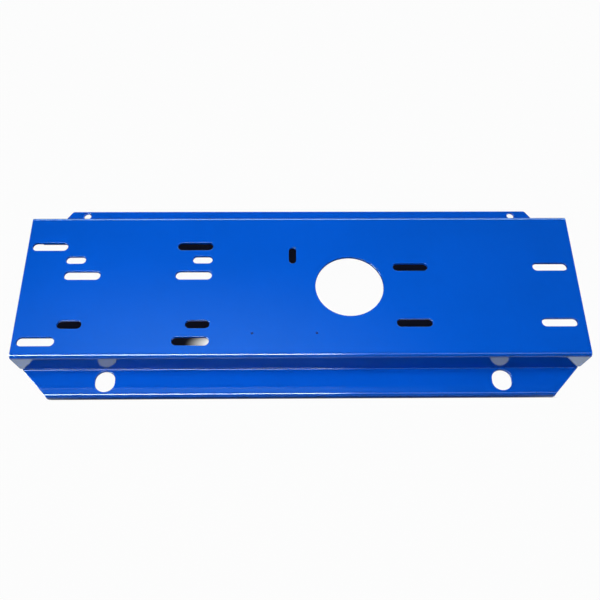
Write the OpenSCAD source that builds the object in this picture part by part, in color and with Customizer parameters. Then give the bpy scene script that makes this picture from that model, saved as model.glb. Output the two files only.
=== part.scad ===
// Tank mounting bracket: one steel sheet, cut flat and folded, that carries a motor and a pump on an air tank.
// X runs along the bracket, -Y is its lipped front, Z is up.
// The origin is under the middle of the part, level with the bottom edge of the front lip.

/* [Sheet] */
// Thickness of the sheet
sheet_t = 4; // [2:0.5:5]
// Radius inside each bend
bend_r = 1.2; // [1:0.1:3]
// Lean of the two webs and of the lip, inwards from upright
web_lean = 9; // [0:1:20]

/* [Top plate] */
// Length of the top plate
plate_length = 711; // [700:1:900]
// Depth of the top plate, over the outside of its two bends
plate_depth = 206.5; // [200:0.5:300]
// Height from the flanges' upper faces to the top face
rise = 50; // [30:1:90]

/* [Flanges] */
// Depth of the front flange, from the corner under the web to the outside of the lip
front_flange_d = 37.5; // [37:0.5:60]
// Depth of the rear flange, from the corner under the web to its cut edge
rear_flange_d = 51.5; // [30:0.5:80]
// Height of the front lip, from the flange's upper face to the lip's edge
lip_h = 12.5; // [12:0.5:30]
// How far each end of a flange is set in from the plate's end, beside the web
flange_set_in = 2.5; // [1:0.5:6]
// How far each outer corner of a flange is cut back from the plate's end
corner_cut = 37; // [20:1:45]
// Radius of the outer corners of the rear flange and of the lip
corner_r = 4; // [2:0.5:5]
// Height of the notch between a web's end and its flange
notch_h = 2; // [1:0.5:4]
// Radius of the lower corners of the webs
web_corner_r = 3; // [1:0.5:6]

/* [Motor slots] */
// From the plate's left end to the outer ends of the corner slots
motor_inset = 6; // [4:0.5:12]
// Spacing of the four corner slots along the plate
motor_spacing_x = 189; // [180:0.5:200]
// Spacing of the four corner slots across the plate
motor_spacing_y = 138.5; // [135:0.5:145]
// Distance of the rear pair of corner slots behind the big hole's centre
motor_rear_y = 60.5; // [58:0.5:63]
// Length of the corner slots
motor_slot_l = 46; // [30:0.5:48]
// Width of the corner slots
motor_slot_w = 12; // [8:0.5:13]

/* [Small motor slots] */
// Distance of the long pair behind the big hole's centre
long_y = 16.5; // [14:0.5:19]
// Length of the long pair
long_slot_l = 46.5; // [30:0.5:50]
// Width of the long pair
long_slot_w = 12.5; // [8:0.5:14]
// Distance of the short pair behind the big hole's centre
short_y = 40; // [38:0.5:42]
// Length of the short pair
short_slot_l = 25.5; // [18:0.5:30]
// Width of the short pair
short_slot_w = 11; // [8:0.5:12]
// Distance of the middle pair in front of the big hole's centre
mid_y = 54.5; // [50:0.5:58]
// Length of the middle pair
mid_slot_l = 30.5; // [20:0.5:36]
// Width of the middle pair
mid_slot_w = 11.5; // [8:0.5:12]

/* [Pump slots] */
// From the plate's right end to the outer ends of the pump's slots
pump_inset = 10.5; // [5:0.5:15]
// Spacing of the pump's slots along the plate
pump_spacing_x = 181.5; // [175:0.5:190]
// Spacing of the pump's slots across the plate
pump_spacing_y = 81.5; // [70:0.5:100]
// Distance of the rear pair of pump slots behind the big hole's centre
pump_rear_y = 28; // [20:0.5:40]
// Length of the pump's slots
pump_slot_l = 45; // [30:0.5:50]
// Width of the pump's slots
pump_slot_w = 11.5; // [8:0.5:14]

/* [Other cut-outs] */
// Diameter of the big hole
big_hole_d = 87; // [60:0.5:95]
// Distance of the big hole right of the plate's middle
big_hole_x = 61.5; // [55:0.5:66]
// Distance of the big hole's centre in front of the middle of the plate's depth
big_hole_front = 4; // [0:0.5:8]
// Length of the cross slot
cross_slot_l = 25; // [16:0.5:34]
// Width of the cross slot
cross_slot_w = 9.5; // [8:0.5:12]
// Distance of the cross slot left of the plate's middle
cross_slot_x = -11; // [-20:0.5:0]
// Distance of the cross slot behind the big hole's centre
cross_slot_y = 46.5; // [35:0.5:60]
// Diameter of the two pin holes
pin_d = 3; // [2:0.5:5]
// Spacing of the two pin holes
pin_spacing = 80; // [60:0.5:100]
// Middle of the two pin holes, left of the plate's middle
pin_x = -21.5; // [-40:0.5:-10]
// Distance of the pin holes in front of the big hole's centre
pin_y = 67.5; // [55:0.5:80]

/* [Flange holes] */
// Width of the two front openings, along the bracket
front_hole_w = 25; // [15:0.5:26]
// Length of the two front openings, across the bracket
front_hole_l = 28.5; // [26:0.5:29]
// From the plate's left end to the centre of the left front opening
front_hole_left = 108; // [95:0.5:140]
// From the plate's right end to the centre of the right front opening
front_hole_right = 102; // [95:0.5:140]
// Diameter of the two rear bolt holes
rear_hole_d = 10; // [6:0.5:12]
// From the outer corners of the rear flange to the rear bolt holes
rear_hole_inset = 20.5; // [15:0.5:40]
// Distance of the rear bolt holes from the rear edge
rear_hole_edge = 7.5; // [7.5:0.5:20]

/* [Hidden] */
$fn = 96;
// Facets of each bend
bend_steps = 16;
blue = [0.01, 0.30, 0.80];
// Reach of the cutting tools past what they cut
over = 2;

// Each bend turns the sheet by this much
turn = 90 + web_lean;
outer_r = bend_r + sheet_t;
plate_flat = plate_depth - 2 * outer_r;
web_flat = (rise - (outer_r + bend_r) * (1 - cos(turn))) / sin(turn);
lip_flat = (lip_h - outer_r * (1 - cos(turn))) / sin(turn);
// From the sharp corner at the web's foot to where the flange runs flat
foot_setback = bend_r * tan(turn / 2);
// From the middle of the plate's depth to the sharp corner at a web's foot
foot_y = plate_flat / 2 + outer_r * tan(turn / 2) - rise * tan(web_lean);
front_flat = front_flange_d - foot_setback - outer_r;
rear_flat = rear_flange_d - foot_setback;
front_y = foot_y + front_flange_d;
rear_y = foot_y + rear_flange_d;
// The middle of the plate's depth and the top face, from the origin
plate_y = (front_y - rear_y) / 2;
plate_z = rise + lip_h;
hole_y = plate_y - big_hole_front;
front_hole_y = plate_y - foot_y - foot_setback - front_flat / 2;
rear_hole_y = plate_y + rear_y - rear_hole_edge;
motor_x = -plate_length / 2 + motor_inset + (motor_spacing_x + motor_slot_l) / 2;
pump_x = plate_length / 2 - pump_inset - (pump_spacing_x + pump_slot_l) / 2;
// The small slots' outer ends lie on the inner ends of the left corner slots and the outer ends of the right ones
small_x = motor_x + motor_slot_l / 2;
// Half the length of a flange beside the web and at its outer edge
flange_half = plate_length / 2 - flange_set_in;
edge_half = plate_length / 2 - corner_cut;
rear_hole_x = edge_half - rear_hole_inset;
// Room that a cut at a web's foot needs either side of the corner
foot_reach = outer_r + sheet_t;

function ahead(angle) = [cos(angle), sin(angle)];
function across(angle) = [-sin(angle), cos(angle)];

// Points of the sheet's face at a depth below its upper face. Each fold is a flat length and
// the turn after it. The walk starts at point p on the upper face and heads along the angle.
function face(folds, depth, i = 0, p = [0, 0], angle = 0) =
    let (bend_at = p + folds[i][0] * ahead(angle), bend = folds[i][1])
    bend == 0 ? [bend_at - depth * across(angle)] :
    let (radius = bend < 0 ? outer_r : -bend_r, centre = bend_at - radius * across(angle))
    concat([for (k = [0:bend_steps]) centre + (radius - depth) * across(angle + bend * k / bend_steps)],
        face(folds, depth, i + 1, centre + radius * across(angle + bend), angle + bend));

function backwards(points) = [for (k = [len(points) - 1:-1:0]) points[k]];
function mirrored(points) = [for (p = points) [-p[0], p[1]]];

// The section of the whole sheet, from the middle of its top face, with the front to the left
module section() {
    hat = [[plate_flat / 2, -turn], [web_flat, turn]];
    rear = concat(hat, [[rear_flat, 0]]);
    front = concat(hat, [[front_flat, -turn], [lip_flat, 0]]);
    polygon(concat(mirrored(backwards(face(front, 0))), face(rear, 0),
        backwards(face(rear, sheet_t)), mirrored(face(front, sheet_t))));
}

// The sheet, folded and cut to the plate's length
module folded_sheet() {
    translate([0, plate_y, plate_z]) rotate([90, 0, 90])
        linear_extrude(plate_length, center = true) section();
}

// A disc through the sheet below a face at height z
module round_cut(x, y, z, d) {
    translate([x, y, z - sheet_t - over]) cylinder(h = sheet_t + 2 * over, d = d);
}

// A slot through the sheet below a face at height z, along X
module slot_cut(x, y, z, length, width) {
    straight = length - width;
    translate([x, y, z - sheet_t - over]) linear_extrude(sheet_t + 2 * over) {
        square([straight, width], center = true);
        for (side = [-1, 1]) translate([side * straight / 2, 0]) circle(d = width);
    }
}

// A slot along Y
module cross_cut(x, y, z, length, width) {
    translate([x, y, 0]) rotate(90) slot_cut(0, 0, z, length, width);
}

// A pair of slots in the plate whose outer ends are span apart, at y behind the big hole's centre
module slot_pair(x, y, span, length, width) {
    for (side = [-1, 1])
        slot_cut(x + side * (span - length) / 2, hole_y + y, plate_z, length, width);
}

// Everything cut through the top plate
module plate_cuts() {
    round_cut(big_hole_x, hole_y, plate_z, big_hole_d);
    for (y = [motor_rear_y, motor_rear_y - motor_spacing_y])
        slot_pair(motor_x, y, motor_spacing_x + motor_slot_l, motor_slot_l, motor_slot_w);
    slot_pair(small_x, long_y, motor_spacing_x, long_slot_l, long_slot_w);
    slot_pair(small_x, short_y, motor_spacing_x, short_slot_l, short_slot_w);
    slot_pair(small_x, -mid_y, motor_spacing_x, mid_slot_l, mid_slot_w);
    for (y = [pump_rear_y, pump_rear_y - pump_spacing_y])
        slot_pair(pump_x, y, pump_spacing_x + pump_slot_l, pump_slot_l, pump_slot_w);
    cross_cut(cross_slot_x, hole_y + cross_slot_y, plate_z, cross_slot_l, cross_slot_w);
    for (side = [-1, 1])
        round_cut(pin_x + side * pin_spacing / 2, hole_y - pin_y, plate_z, pin_d);
}

// The holes in the two flanges
module flange_cuts() {
    for (x = [front_hole_left - plate_length / 2, plate_length / 2 - front_hole_right])
        cross_cut(x, front_hole_y, lip_h, front_hole_l, front_hole_w);
    for (x = [-rear_hole_x, rear_hole_x])
        round_cut(x, rear_hole_y, lip_h, rear_hole_d);
}

// A flange in plan, from the web's foot at y = 0 to its outer edge at depth d, with outer corners of radius r
module flange_plan(d, r) {
    slant = atan((flange_half - edge_half) / d);
    tangent = r * tan(45 - slant / 2);
    reach = foot_reach + over;
    for (side = [-1, 1]) scale([side, 1]) {
        polygon([[0, -reach], [flange_half, -reach], [flange_half, 0],
            [edge_half + tangent * sin(slant), d - tangent * cos(slant)],
            [edge_half - tangent, d], [0, d]]);
        translate([edge_half - tangent, d - r]) circle(r);
    }
}

// What is cut off the ends of a flange of depth d, with the notches beside the web
module flange_waste(d, r) {
    translate([0, 0, -over]) linear_extrude(lip_h + notch_h + over) difference() {
        translate([-plate_length / 2 - over, -foot_reach])
            square([plate_length + 2 * over, foot_reach + d + over]);
        flange_plan(d, r);
    }
}

// What is cut off the lower corner, of radius r, of an upright wall that ends at half_l and z
module corner_waste(half_l, y, z, r) {
    for (side = [0, 1]) mirror([side, 0, 0])
        translate([half_l - r, y + foot_reach, z + r]) rotate([90, 0, 0])
            linear_extrude(2 * foot_reach) difference() {
                translate([0, -r - over]) square(r + over);
                circle(r);
            }
}

// The ends of the flanges, webs and lip
module end_cuts() {
    translate([0, plate_y + foot_y, 0]) flange_waste(rear_flange_d, corner_r);
    translate([0, plate_y - foot_y, 0]) mirror([0, 1, 0]) flange_waste(front_flange_d, 0);
    for (y = [plate_y - foot_y, plate_y + foot_y])
        corner_waste(plate_length / 2, y, lip_h + notch_h, web_corner_r);
    corner_waste(edge_half, plate_y - front_y, 0, corner_r);
}

module bracket() {
    color(blue) difference() {
        folded_sheet();
        plate_cuts();
        flange_cuts();
        end_cuts();
    }
}

bracket();
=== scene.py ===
"""A tank mounting bracket: one folded steel sheet in gloss blue powder coat, on a white floor with painted
shade and light under the bracket.
"""
import logging
import math
from dataclasses import dataclass
from enum import Enum

import bmesh
import bpy
from mathutils import Matrix, Vector


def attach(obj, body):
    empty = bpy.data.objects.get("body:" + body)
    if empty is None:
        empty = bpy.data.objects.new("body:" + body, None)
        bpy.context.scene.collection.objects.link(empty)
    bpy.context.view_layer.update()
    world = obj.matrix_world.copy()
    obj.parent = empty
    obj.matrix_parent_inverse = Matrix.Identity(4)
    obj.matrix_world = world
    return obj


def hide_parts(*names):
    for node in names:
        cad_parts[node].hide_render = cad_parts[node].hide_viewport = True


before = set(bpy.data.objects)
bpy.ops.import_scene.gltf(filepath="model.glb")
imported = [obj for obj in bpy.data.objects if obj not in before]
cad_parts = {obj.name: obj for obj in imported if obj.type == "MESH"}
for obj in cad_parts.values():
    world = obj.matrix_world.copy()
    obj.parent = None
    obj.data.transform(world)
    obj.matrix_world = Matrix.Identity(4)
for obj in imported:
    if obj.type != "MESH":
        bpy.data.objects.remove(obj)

LOG = logging.getLogger("bracket")

# The camera's sensor in millimetres, and the photograph's width and focal length in pixels.
SENSOR_WIDTH = 36.0
PHOTO_WIDTH = 600.0
PHOTO_FOCAL_LENGTH = 839.89

Triple = tuple[float, float, float]
Pair = tuple[float, float]


class Ray(Enum):
    """The kinds of ray for which the floor and the room have a look of their own."""

    CAMERA = "Is Camera Ray"
    GLOSSY = "Is Glossy Ray"
    TRANSMISSION = "Is Transmission Ray"


class Form(Enum):
    """The outlines that a patch of shade or light on the floor can have."""

    BOX = "box"
    DISC = "disc"


class Reach(Enum):
    """What a lamp lights: all, only what mirrors it, or only what is matt."""

    ALL = "all"
    MIRRORED = "mirrored"
    MATT = "matt"


class NodeTree:
    """A material's or the world's node tree, with short ways to add and link its nodes."""

    def __init__(self, owner: bpy.types.Material | bpy.types.World) -> None:
        """Empties the tree of the material or world.

        Args:
            owner: the material or world whose nodes are rebuilt.
        """
        owner.use_nodes = True
        self.tree = owner.node_tree
        self.tree.nodes.clear()

    def add(self, kind: str, label: str = "", **settings: object) -> bpy.types.Node:
        """Adds one node.

        Args:
            kind: the node's Blender type, without its ShaderNode prefix.
            label: what the node is for, in plain words.
            settings: the node's own properties, such as operation.

        Returns:
            The new node.
        """
        node = self.tree.nodes.new("ShaderNode" + kind)
        node.label = label
        for name, value in settings.items():
            setattr(node, name, value)
        return node

    def join(self, source: bpy.types.NodeSocket, target: bpy.types.NodeSocket) -> None:
        """Links an output to an input."""
        self.tree.links.new(source, target)

    def maths(self, operation: str, *values: bpy.types.NodeSocket | float) -> bpy.types.NodeSocket:
        """Adds a Math node.

        Args:
            operation: the name of the operation.
            values: a socket or a number for each input, in order.

        Returns:
            The node's output.
        """
        node = self.add("Math", operation.lower(), operation=operation)
        for socket, value in zip(node.inputs, values):
            if isinstance(value, bpy.types.NodeSocket):
                self.join(value, socket)
            else:
                socket.default_value = value
        return node.outputs[0]

    def ramp(self, value: bpy.types.NodeSocket, low: Pair, high: Pair,
             smooth: bool = False) -> bpy.types.NodeSocket:
        """Adds a Map Range node that takes low[0] to low[1] and high[0] to high[1].

        Args:
            value: the socket to read.
            low: one end of the range, as what is read and what it becomes.
            high: the other end.
            smooth: whether the change eases in and out.

        Returns:
            The node's output.
        """
        node = self.add("MapRange", interpolation_type="SMOOTHSTEP" if smooth else "LINEAR")
        self.join(value, node.inputs["Value"])
        for name, number in zip(("From Min", "To Min", "From Max", "To Max"), low + high):
            node.inputs[name].default_value = number
        return node.outputs["Result"]

    def split(self, vector: bpy.types.NodeSocket) -> dict[str, bpy.types.NodeSocket]:
        """Adds a Separate XYZ node.

        Args:
            vector: the vector to split.

        Returns:
            Its three values, under X, Y and Z.
        """
        node = self.add("SeparateXYZ")
        self.join(vector, node.inputs["Vector"])
        return {axis: node.outputs[axis] for axis in "XYZ"}

    def length(self, vector: bpy.types.NodeSocket) -> bpy.types.NodeSocket:
        """Adds a Vector Math node that measures a vector.

        Args:
            vector: the vector to measure.

        Returns:
            Its length.
        """
        node = self.add("VectorMath", operation="LENGTH")
        self.join(vector, node.inputs[0])
        return node.outputs["Value"]

    def measured(self, place: bpy.types.NodeSocket, centre: Triple, reach: Triple) -> bpy.types.NodeSocket:
        """Adds a Mapping node that measures from a centre in units of a reach.

        Args:
            place: the coordinates that it reads.
            centre: the point to measure from.
            reach: the unit along each axis.

        Returns:
            The measured coordinates.
        """
        node = self.add("Mapping", vector_type="TEXTURE")
        node.inputs["Location"].default_value = centre
        node.inputs["Scale"].default_value = reach
        self.join(place, node.inputs["Vector"])
        return node.outputs["Vector"]

    def seen_by(self, rays: tuple[Ray, ...]) -> bpy.types.NodeSocket:
        """Adds a Light Path node.

        Args:
            rays: the kinds of ray to tell apart.

        Returns:
            A value that is 1 for those rays and 0 for all others.
        """
        path = self.add("LightPath")
        value = path.outputs[rays[0].value]
        for ray in rays[1:]:
            value = self.maths("MAXIMUM", value, path.outputs[ray.value])
        return value


@dataclass(frozen=True)
class Noise:
    """A cloudy pattern: its cells to the metre, and how many finer layers it has."""

    scale: float
    detail: float

    def value(self, nodes: NodeTree, place: bpy.types.NodeSocket) -> bpy.types.NodeSocket:
        """Adds the pattern.

        Args:
            nodes: the tree that it goes into.
            place: the coordinates that it reads.

        Returns:
            The noise, around 0.5.
        """
        noise = nodes.add("TexNoise")
        noise.inputs["Scale"].default_value = self.scale
        noise.inputs["Detail"].default_value = self.detail
        nodes.join(place, noise.inputs["Vector"])
        return noise.outputs["Fac"]


@dataclass(frozen=True)
class PowderCoat:
    """Gloss powder coat: a saturated base under a clear skin with a fine orange peel.

    The wave is the sheet's own slight waviness, and the peel is the coat's. The bands are the stretches of
    the wave's noise over which the colour and the roughness change.
    """

    name: str
    colour: Triple
    deep_colour: Triple
    colour_band: Pair
    roughness: Pair
    roughness_band: Pair
    specular: float
    gloss: float
    gloss_roughness: float
    wave: Noise
    wave_depth: float
    peel: Noise
    peel_depth: float

    def material(self) -> bpy.types.Material:
        """Builds the finish as a material.

        Returns:
            The material, with every pattern on Object coordinates.
        """
        material = bpy.data.materials.new(self.name)
        nodes = NodeTree(material)
        place = nodes.add("TexCoord").outputs["Object"]
        shader = nodes.add("BsdfPrincipled")
        shader.inputs["Specular IOR Level"].default_value = self.specular
        shader.inputs["Coat Weight"].default_value = self.gloss
        shader.inputs["Coat Roughness"].default_value = self.gloss_roughness
        wave = self.wave.value(nodes, place)
        nodes.join(self.tone(nodes, wave), shader.inputs["Base Color"])
        smooth, rough = self.roughness
        start, end = self.roughness_band
        nodes.join(nodes.ramp(wave, (start, rough), (end, smooth)), shader.inputs["Roughness"])
        normal = self.relief(nodes, wave, self.peel.value(nodes, place))
        for name in ("Normal", "Coat Normal"):
            nodes.join(normal, shader.inputs[name])
        nodes.join(shader.outputs["BSDF"], nodes.add("OutputMaterial").inputs["Surface"])
        return material

    def tone(self, nodes: NodeTree, wave: bpy.types.NodeSocket) -> bpy.types.NodeSocket:
        """Adds the base colour, a little deeper where the coat lies thicker.

        Args:
            nodes: the tree that it goes into.
            wave: the noise that the thickness follows.

        Returns:
            The colour.
        """
        tone = nodes.add("Mix", "coat thickness", data_type="RGBA")
        start, end = self.colour_band
        nodes.join(nodes.ramp(wave, (start, 0.0), (end, 1.0)), tone.inputs["Factor"])
        tone.inputs["A"].default_value = (*self.deep_colour, 1.0)
        tone.inputs["B"].default_value = (*self.colour, 1.0)
        return tone.outputs["Result"]

    def relief(self, nodes: NodeTree, wave: bpy.types.NodeSocket,
               peel: bpy.types.NodeSocket) -> bpy.types.NodeSocket:
        """Adds the waviness of the sheet and the orange peel on it.

        Args:
            nodes: the tree that they go into.
            wave: the height of the waviness.
            peel: the height of the peel.

        Returns:
            The normal.
        """
        sheet = nodes.add("Bump", "waviness of the sheet")
        sheet.inputs["Distance"].default_value = self.wave_depth
        nodes.join(wave, sheet.inputs["Height"])
        skin = nodes.add("Bump", "orange peel")
        skin.inputs["Distance"].default_value = self.peel_depth
        nodes.join(peel, skin.inputs["Height"])
        nodes.join(sheet.outputs["Normal"], skin.inputs["Normal"])
        return skin.outputs["Normal"]


@dataclass
class FoldedSheet:
    """The bracket's one sheet, from the CAD node, with its cut edges rounded as coated steel has them.

    Edges that turn by more than the sharp angle are rounded, and by less on the pin holes, whose loops are
    shorter than the pin loop. What turns by less than the flat angle is one face.
    """

    finish: PowderCoat
    node: str = "bracket"
    merge_distance: float = 1e-6
    edge_radius: float = 0.0005
    edge_steps: int = 3
    pin_radius: float = 0.00015
    pin_loop: float = 0.012
    sharp: float = math.radians(40)
    flat: float = math.radians(0.6)
    crease: float = math.radians(35)

    def build(self) -> bpy.types.Object:
        """Builds the sheet in place of its CAD node.

        Returns:
            The finished piece.
        """
        shape = self.merged_copy()
        self.round_edges(shape)
        mesh = bpy.data.meshes.new("folded_sheet")
        shape.to_mesh(mesh)
        shape.free()
        piece = bpy.data.objects.new("folded_sheet", mesh)
        bpy.context.scene.collection.objects.link(piece)
        mesh.materials.append(self.finish.material())
        self.shade(piece)
        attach(piece, "root")
        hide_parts(self.node)
        return piece

    def merged_copy(self) -> bmesh.types.BMesh:
        """Copies the CAD node's mesh, joins its loose triangles and clears the edges inside its flat faces.

        Returns:
            The copy, as a closed shell.
        """
        shape = bmesh.new()
        shape.from_mesh(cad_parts[self.node].data)
        bmesh.ops.remove_doubles(shape, verts=shape.verts, dist=self.merge_distance)
        bmesh.ops.dissolve_limit(shape, angle_limit=self.flat, verts=shape.verts, edges=shape.edges)
        return shape

    def round_edges(self, shape: bmesh.types.BMesh) -> None:
        """Rounds every sharp edge, round the sheet's outline and its holes, and stays in the CAD box.

        Args:
            shape: the sheet, which is changed.
        """
        low, high = ([pick(vert.co[axis] for vert in shape.verts) for axis in range(3)]
                     for pick in (min, max))
        sharp = [edge for edge in shape.edges if edge.calc_face_angle() > self.sharp]
        small = [loop for loop in self.loops(sharp) if self.run(loop) < self.pin_loop]
        pins = [edge for loop in small for edge in loop]
        small_edges = set(pins)
        rest = [edge for edge in sharp if edge not in small_edges]
        for edges, radius in ((pins, self.pin_radius), (rest, self.edge_radius)):
            bmesh.ops.bevel(shape, geom=edges, offset=radius, offset_type="OFFSET", affect="EDGES",
                            segments=self.edge_steps, profile=0.5, clamp_overlap=False, material=-1)
        for vert in shape.verts:
            for axis in range(3):
                vert.co[axis] = min(max(vert.co[axis], low[axis]), high[axis])

    @staticmethod
    def run(loop: list[bmesh.types.BMEdge]) -> float:
        """Returns the length of a loop of edges."""
        return sum(edge.calc_length() for edge in loop)

    @staticmethod
    def loops(edges: list[bmesh.types.BMEdge]) -> list[list[bmesh.types.BMEdge]]:
        """Sorts edges into groups that touch.

        Args:
            edges: the edges to sort.

        Returns:
            The groups, each a list of edges.
        """
        left = dict.fromkeys(edges)
        groups = []
        while left:
            group = [left.popitem()[0]]
            for edge in group:
                for vert in edge.verts:
                    for other in vert.link_edges:
                        if other in left:
                            del left[other]
                            group.append(other)
            groups.append(group)
        return groups

    def shade(self, piece: bpy.types.Object) -> None:
        """Shades the bends and rounded edges smooth, and leaves the flats flat.

        Args:
            piece: the piece, whose mesh is changed.
        """
        piece.data.shade_smooth()
        piece.data.set_sharp_from_angle(angle=self.crease)
        weighted = piece.modifiers.new("flat faces lead", "WEIGHTED_NORMAL")
        weighted.keep_sharp = True


@dataclass(frozen=True)
class Patch:
    """A patch of painted shade or painted light on the floor. Its soft rim is a share of its reach."""

    form: Form
    centre: Pair
    reach: Pair
    rim: float
    light: float = 1.0

    def spot(self, nodes: NodeTree, place: bpy.types.NodeSocket) -> bpy.types.NodeSocket:
        """Adds the patch's outline.

        Args:
            nodes: the tree that it goes into.
            place: the coordinates that it reads.

        Returns:
            A value that is 1 on the patch and 0 beyond its rim.
        """
        measured = nodes.measured(place, (*self.centre, 0.0), (*self.reach, 1.0))
        if self.form is Form.BOX:
            apart = nodes.split(measured)
            far = nodes.maths("MAXIMUM", *(nodes.maths("ABSOLUTE", apart[axis]) for axis in "XY"))
        else:
            far = nodes.length(measured)
        return nodes.ramp(far, (1.0 - self.rim, 1.0), (1.0 + self.rim, 0.0), smooth=True)


@dataclass(frozen=True)
class Pattern:
    """Painted shade and light on the floor: an even ground, on which each patch covers the ones before it."""

    ground: float
    patches: tuple[Patch, ...]

    def value(self, nodes: NodeTree, place: bpy.types.NodeSocket) -> bpy.types.NodeSocket:
        """Adds the pattern.

        Args:
            nodes: the tree that it goes into.
            place: the coordinates that it reads.

        Returns:
            A value that is 1 in the light and 0 in the shade.
        """
        value = nodes.maths("ADD", self.ground, 0.0)
        for patch in self.patches:
            change = nodes.maths("SUBTRACT", patch.light, value)
            value = nodes.maths("MULTIPLY_ADD", patch.spot(nodes, place), change, value)
        return value


@dataclass(frozen=True)
class WhiteFloor:
    """Matt white that shows as the white background, with a pattern of painted shade and painted light for
    the camera and one for the gloss.
    """

    seen: Pattern
    mirrored: Pattern
    name: str = "white_floor"
    albedo: float = 0.2
    shadow: float = 0.03
    # The colour of the painted shade, which the floor shows where its patterns are dark.
    shade: Triple = (0.0042, 0.0046, 0.0095)
    mirror_white: Triple = (0.92, 1.08, 1.25)

    def material(self) -> bpy.types.Material:
        """Builds the finish as a material, which keeps a faint part of the bracket's shadow.

        Returns:
            The material.
        """
        material = bpy.data.materials.new(self.name)
        nodes = NodeTree(material)
        matt = nodes.add("BsdfDiffuse")
        matt.inputs["Color"].default_value = (self.albedo,) * 3 + (1.0,)
        # The glow is painted shade where a pattern is dark, and white where it is lit.
        tone = nodes.add("Mix", "shade and light", data_type="RGBA")
        tone.inputs["A"].default_value = (*self.shade, 1.0)
        nodes.join(self.white(nodes), tone.inputs["B"])
        nodes.join(self.lit(nodes), tone.inputs["Factor"])
        glow = nodes.add("Emission")
        nodes.join(tone.outputs["Result"], glow.inputs["Color"])
        blend = nodes.add("MixShader")
        shown = nodes.seen_by(tuple(Ray))
        nodes.join(nodes.maths("MULTIPLY", shown, 1.0 - self.shadow), blend.inputs["Fac"])
        nodes.join(matt.outputs["BSDF"], blend.inputs[1])
        nodes.join(glow.outputs["Emission"], blend.inputs[2])
        nodes.join(blend.outputs["Shader"], nodes.add("OutputMaterial").inputs["Surface"])
        return material

    def white(self, nodes: NodeTree) -> bpy.types.NodeSocket:
        """Adds the floor's white, which is cooler in what the sheet mirrors.

        Args:
            nodes: the tree that it goes into.

        Returns:
            The colour.
        """
        white = nodes.add("Mix", "white, or cool white", data_type="RGBA")
        white.inputs["A"].default_value = (1.0, 1.0, 1.0, 1.0)
        white.inputs["B"].default_value = (*self.mirror_white, 1.0)
        nodes.join(nodes.seen_by((Ray.GLOSSY,)), white.inputs["Factor"])
        return white.outputs["Result"]

    def lit(self, nodes: NodeTree) -> bpy.types.NodeSocket:
        """Adds both patterns of painted shade and painted light.

        Args:
            nodes: the tree that they go into.

        Returns:
            The mirrored pattern's value for glossy rays, and the seen pattern's for all others.
        """
        place = nodes.add("TexCoord").outputs["Object"]
        seen, mirrored = (pattern.value(nodes, place) for pattern in (self.seen, self.mirrored))
        change = nodes.maths("SUBTRACT", mirrored, seen)
        return nodes.maths("MULTIPLY_ADD", nodes.seen_by((Ray.GLOSSY,)), change, seen)


@dataclass
class Floor:
    """The floor that the bracket stands on, at the height of the bracket's lowest edge. Its finish paints
    shade and light under the bracket.
    """

    finish: WhiteFloor
    half_size: float = 6.0

    def build(self) -> bpy.types.Object:
        """Builds the floor.

        Returns:
            The floor's object.
        """
        shape = bmesh.new()
        bmesh.ops.create_grid(shape, x_segments=1, y_segments=1, size=self.half_size)
        mesh = bpy.data.meshes.new("floor")
        shape.to_mesh(mesh)
        shape.free()
        floor = bpy.data.objects.new("floor", mesh)
        bpy.context.scene.collection.objects.link(floor)
        mesh.materials.append(self.finish.material())
        return floor


@dataclass(frozen=True)
class SoftBox:
    """A rectangular studio lamp, aimed at a point and unseen by the camera."""

    name: str
    centre: Triple
    aim: Triple
    size: Pair
    power: float
    lights: Reach = Reach.ALL
    colour: Triple = (0.8, 1.0, 1.0)

    def build(self) -> bpy.types.Object:
        """Builds the lamp.

        Returns:
            The lamp's object.
        """
        data = bpy.data.lights.new(self.name, "AREA")
        data.shape = "RECTANGLE"
        data.size, data.size_y = self.size
        data.energy = self.power
        data.color = self.colour
        lamp = bpy.data.objects.new(self.name, data)
        back = (Vector(self.centre) - Vector(self.aim)).normalized()
        along = (Vector((1.0, 0.0, 0.0)) - back.x * back).normalized()
        turn = Matrix((along, back.cross(along), back)).transposed()
        lamp.matrix_world = Matrix.Translation(self.centre) @ turn.to_4x4()
        lamp.visible_camera = False
        lamp.visible_diffuse = self.lights is not Reach.MIRRORED
        lamp.visible_glossy = self.lights is not Reach.MATT
        bpy.context.scene.collection.objects.link(lamp)
        return lamp


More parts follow.
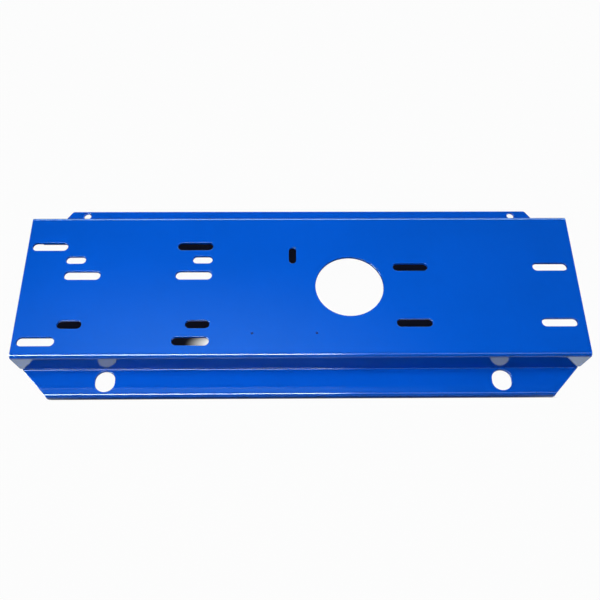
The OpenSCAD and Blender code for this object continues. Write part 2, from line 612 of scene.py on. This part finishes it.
@dataclass(frozen=True)
class Room:
    """The world: white to the camera, and to the gloss a dark room with a backdrop and a glow on its ceiling.

    The backdrop stands behind the bracket. Its top fades between two heights in degrees, and its sides
    between two values of a direction's Y. The glow's centre and reach are directions too.
    """

    fill: float = 0.04
    background: float = 1.0
    backdrop_top: Pair = (30.0, 45.0)
    backdrop_side: Pair = (0.05, 0.30)
    mirror_colour: Triple = (0.48, 1.0, 1.0)
    glow: float = 1.2
    glow_centre: Triple = (-0.10, 0.405, 0.895)
    glow_reach: Triple = (0.34, 0.140, 0.30)

    def build(self) -> bpy.types.World:
        """Builds the world and makes it the scene's own.

        Returns:
            The world.
        """
        world = bpy.data.worlds.new("studio")
        bpy.context.scene.world = world
        nodes = NodeTree(world)
        direction = nodes.add("TexCoord").outputs["Generated"]
        lights = (self.backdrop(nodes, direction), self.ceiling_glow(nodes, direction))
        mirrored = nodes.maths("MULTIPLY", nodes.maths("MAXIMUM", *lights), nodes.seen_by((Ray.GLOSSY,)))
        shown = nodes.maths("MAXIMUM", nodes.seen_by((Ray.CAMERA, Ray.TRANSMISSION)), mirrored)
        tone = nodes.add("Mix", "what is mirrored is cool", data_type="RGBA")
        tone.inputs["A"].default_value = (1.0, 1.0, 1.0, 1.0)
        tone.inputs["B"].default_value = (*self.mirror_colour, 1.0)
        nodes.join(nodes.seen_by((Ray.GLOSSY,)), tone.inputs["Factor"])
        light = nodes.add("Background")
        nodes.join(tone.outputs["Result"], light.inputs["Color"])
        nodes.join(nodes.ramp(shown, (0.0, self.fill), (1.0, self.background)), light.inputs["Strength"])
        nodes.join(light.outputs["Background"], nodes.add("OutputWorld").inputs["Surface"])
        return world

    def backdrop(self, nodes: NodeTree, direction: bpy.types.NodeSocket) -> bpy.types.NodeSocket:
        """Adds the backdrop, which the bends and the flange mirror.

        Args:
            nodes: the world's tree.
            direction: the direction that is looked in.

        Returns:
            The backdrop's strength, 1 at its fullest.
        """
        apart = nodes.split(direction)
        low, high = (math.sin(math.radians(angle)) for angle in self.backdrop_top)
        near, behind = self.backdrop_side
        below = nodes.ramp(apart["Z"], (low, 1.0), (high, 0.0), smooth=True)
        beyond = nodes.ramp(apart["Y"], (near, 0.0), (behind, 1.0), smooth=True)
        return nodes.maths("MULTIPLY", below, beyond)

    def ceiling_glow(self, nodes: NodeTree, direction: bpy.types.NodeSocket) -> bpy.types.NodeSocket:
        """Adds the soft glow on the ceiling behind the bracket, which the top plate mirrors.

        Args:
            nodes: the world's tree.
            direction: the direction that is looked in.

        Returns:
            The glow's strength, which fades to 0 at its reach.
        """
        far = nodes.length(nodes.measured(direction, self.glow_centre, self.glow_reach))
        return nodes.ramp(far, (0.0, self.glow), (1.0, 0.0), smooth=True)


@dataclass
class Studio:
    """The lamps, the floor and the room round them."""

    lamps: tuple[SoftBox, ...]
    floor: Floor
    room: Room

    def build(self) -> None:
        """Builds the studio, and shows colours as they are written."""
        for lamp in self.lamps:
            lamp.build()
            LOG.info("lamp %s", lamp.name)
        self.floor.build()
        self.room.build()
        bpy.context.scene.view_settings.view_transform = "Standard"


@dataclass(frozen=True)
class PhotoCamera:
    """The photograph's camera: angles in degrees, place in metres, lens in millimetres."""

    place: Triple
    dip: float
    yaw: float
    roll: float
    lens: float
    sensor: float = SENSOR_WIDTH

    def build(self) -> bpy.types.Object:
        """Builds the camera and makes it the scene's own.

        Returns:
            The camera's object.
        """
        data = bpy.data.cameras.new("photo_camera")
        data.sensor_fit = "HORIZONTAL"
        data.sensor_width = self.sensor
        data.lens = self.lens
        camera = bpy.data.objects.new("photo_camera", data)
        turn = (Matrix.Rotation(math.radians(self.yaw), 4, "Z")
                @ Matrix.Rotation(math.radians(90.0 - self.dip), 4, "X")
                @ Matrix.Rotation(math.radians(-self.roll), 4, "Z"))
        camera.matrix_world = Matrix.Translation(self.place) @ turn
        bpy.context.scene.collection.objects.link(camera)
        bpy.context.scene.camera = camera
        return camera


BLUE = PowderCoat(
    name="blue_powder_coat",
    colour=(0.0006, 0.085, 0.565), deep_colour=(0.0004, 0.080, 0.53), colour_band=(0.35, 0.65),
    roughness=(0.38, 0.44), roughness_band=(0.3, 0.7),
    specular=0.0, gloss=1.0, gloss_roughness=0.09,
    wave=Noise(scale=9.0, detail=3.0), wave_depth=0.00007,
    peel=Noise(scale=420.0, detail=2.0), peel_depth=0.000008)

# Painted shade fills the floor below the plate. Painted pools of light lie below the round hole and the white
# slots, and the short slot near the plate's left end looks down on a last spot of painted shade.
SEEN = Pattern(ground=1.0, patches=(
    Patch(Form.BOX, centre=(0.0, 0.004), reach=(0.3130, 0.0935), rim=0.018, light=0.0),
    Patch(Form.DISC, centre=(0.067, 0.026), reach=(0.056, 0.056), rim=0.08),
    Patch(Form.DISC, centre=(-0.298, 0.056), reach=(0.050, 0.030), rim=0.1),
    Patch(Form.DISC, centre=(-0.146, 0.056), reach=(0.045, 0.025), rim=0.1),
    Patch(Form.DISC, centre=(-0.102, -0.062), reach=(0.032, 0.012), rim=0.6),
    Patch(Form.DISC, centre=(-0.309, -0.033), reach=(0.026, 0.0125), rim=0.15, light=0.0),
))

# The gloss mirrors a sheet of white round the bracket, with painted shade below the plate, painted half light
# below the front flange and painted shade before the lip.
MIRRORED = Pattern(ground=0.0, patches=(
    Patch(Form.BOX, centre=(0.0, -0.08), reach=(0.55, 0.26), rim=0.25),
    Patch(Form.BOX, centre=(0.0, 0.004), reach=(0.405, 0.094), rim=0.02, light=0.0),
    Patch(Form.BOX, centre=(0.0, -0.115), reach=(0.295, 0.030), rim=0.1, light=0.6),
    Patch(Form.BOX, centre=(0.0, -0.156), reach=(0.320, 0.017), rim=0.3, light=0.0),
))

# The key, front, side and back lamps light the blue itself. The strips draw the bright lines on the bends
# and rims.
LAMPS = (
    SoftBox("key", centre=(-0.16, -0.17, 0.80), aim=(-0.16, -0.10, 0.0), size=(0.8, 0.30), power=6.3,
            lights=Reach.MATT),
    SoftBox("front", centre=(-0.22, -0.403, 0.826), aim=(-0.22, -0.105, 0.03), size=(0.75, 0.20), power=1.0),
    SoftBox("side", centre=(1.10, -0.10, 0.75), aim=(0.15, 0.0, 0.0), size=(0.6, 0.6), power=3.6),
    SoftBox("back", centre=(0.0, 1.3, 0.75), aim=(0.0, 0.1, 0.05), size=(2.0, 0.5), power=8.8),
    SoftBox("strip", centre=(-0.45, -1.023, 1.834), aim=(-0.1, -0.1, 0.06), size=(1.3, 0.60), power=80.0,
            lights=Reach.MIRRORED),
    SoftBox("strip_right", centre=(0.65, -1.023, 1.834), aim=(0.2, -0.1, 0.06), size=(0.9, 0.60), power=5.0,
            lights=Reach.MIRRORED),
    SoftBox("left_strip", centre=(-1.20, -0.30, 0.88), aim=(0.1, 0.1, 0.06), size=(0.6, 1.0), power=120.0,
            lights=Reach.MIRRORED),
    SoftBox("back_strip", centre=(0.0, 1.2, 0.69), aim=(0.0, 0.1, 0.05), size=(2.0, 0.5), power=20.0,
            lights=Reach.MIRRORED, colour=(0.6, 1.0, 1.0)),
)

CAMERA = PhotoCamera(place=(-0.01782, -0.55564, 0.98350), dip=60.3522, yaw=-1.7420, roll=-1.3269,
                     lens=PHOTO_FOCAL_LENGTH * SENSOR_WIDTH / PHOTO_WIDTH)


def main() -> None:
    """Builds the camera, the bracket and the studio, and logs the bracket's faces and each lamp."""
    logging.basicConfig(level=logging.INFO, format="%(name)s: %(message)s")
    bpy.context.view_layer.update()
    CAMERA.build()
    piece = FoldedSheet(finish=BLUE).build()
    LOG.info("%s: %d faces", piece.name, len(piece.data.polygons))
    Studio(lamps=LAMPS, floor=Floor(finish=WhiteFloor(seen=SEEN, mirrored=MIRRORED)), room=Room()).build()


if __name__ == "__main__":
    main()
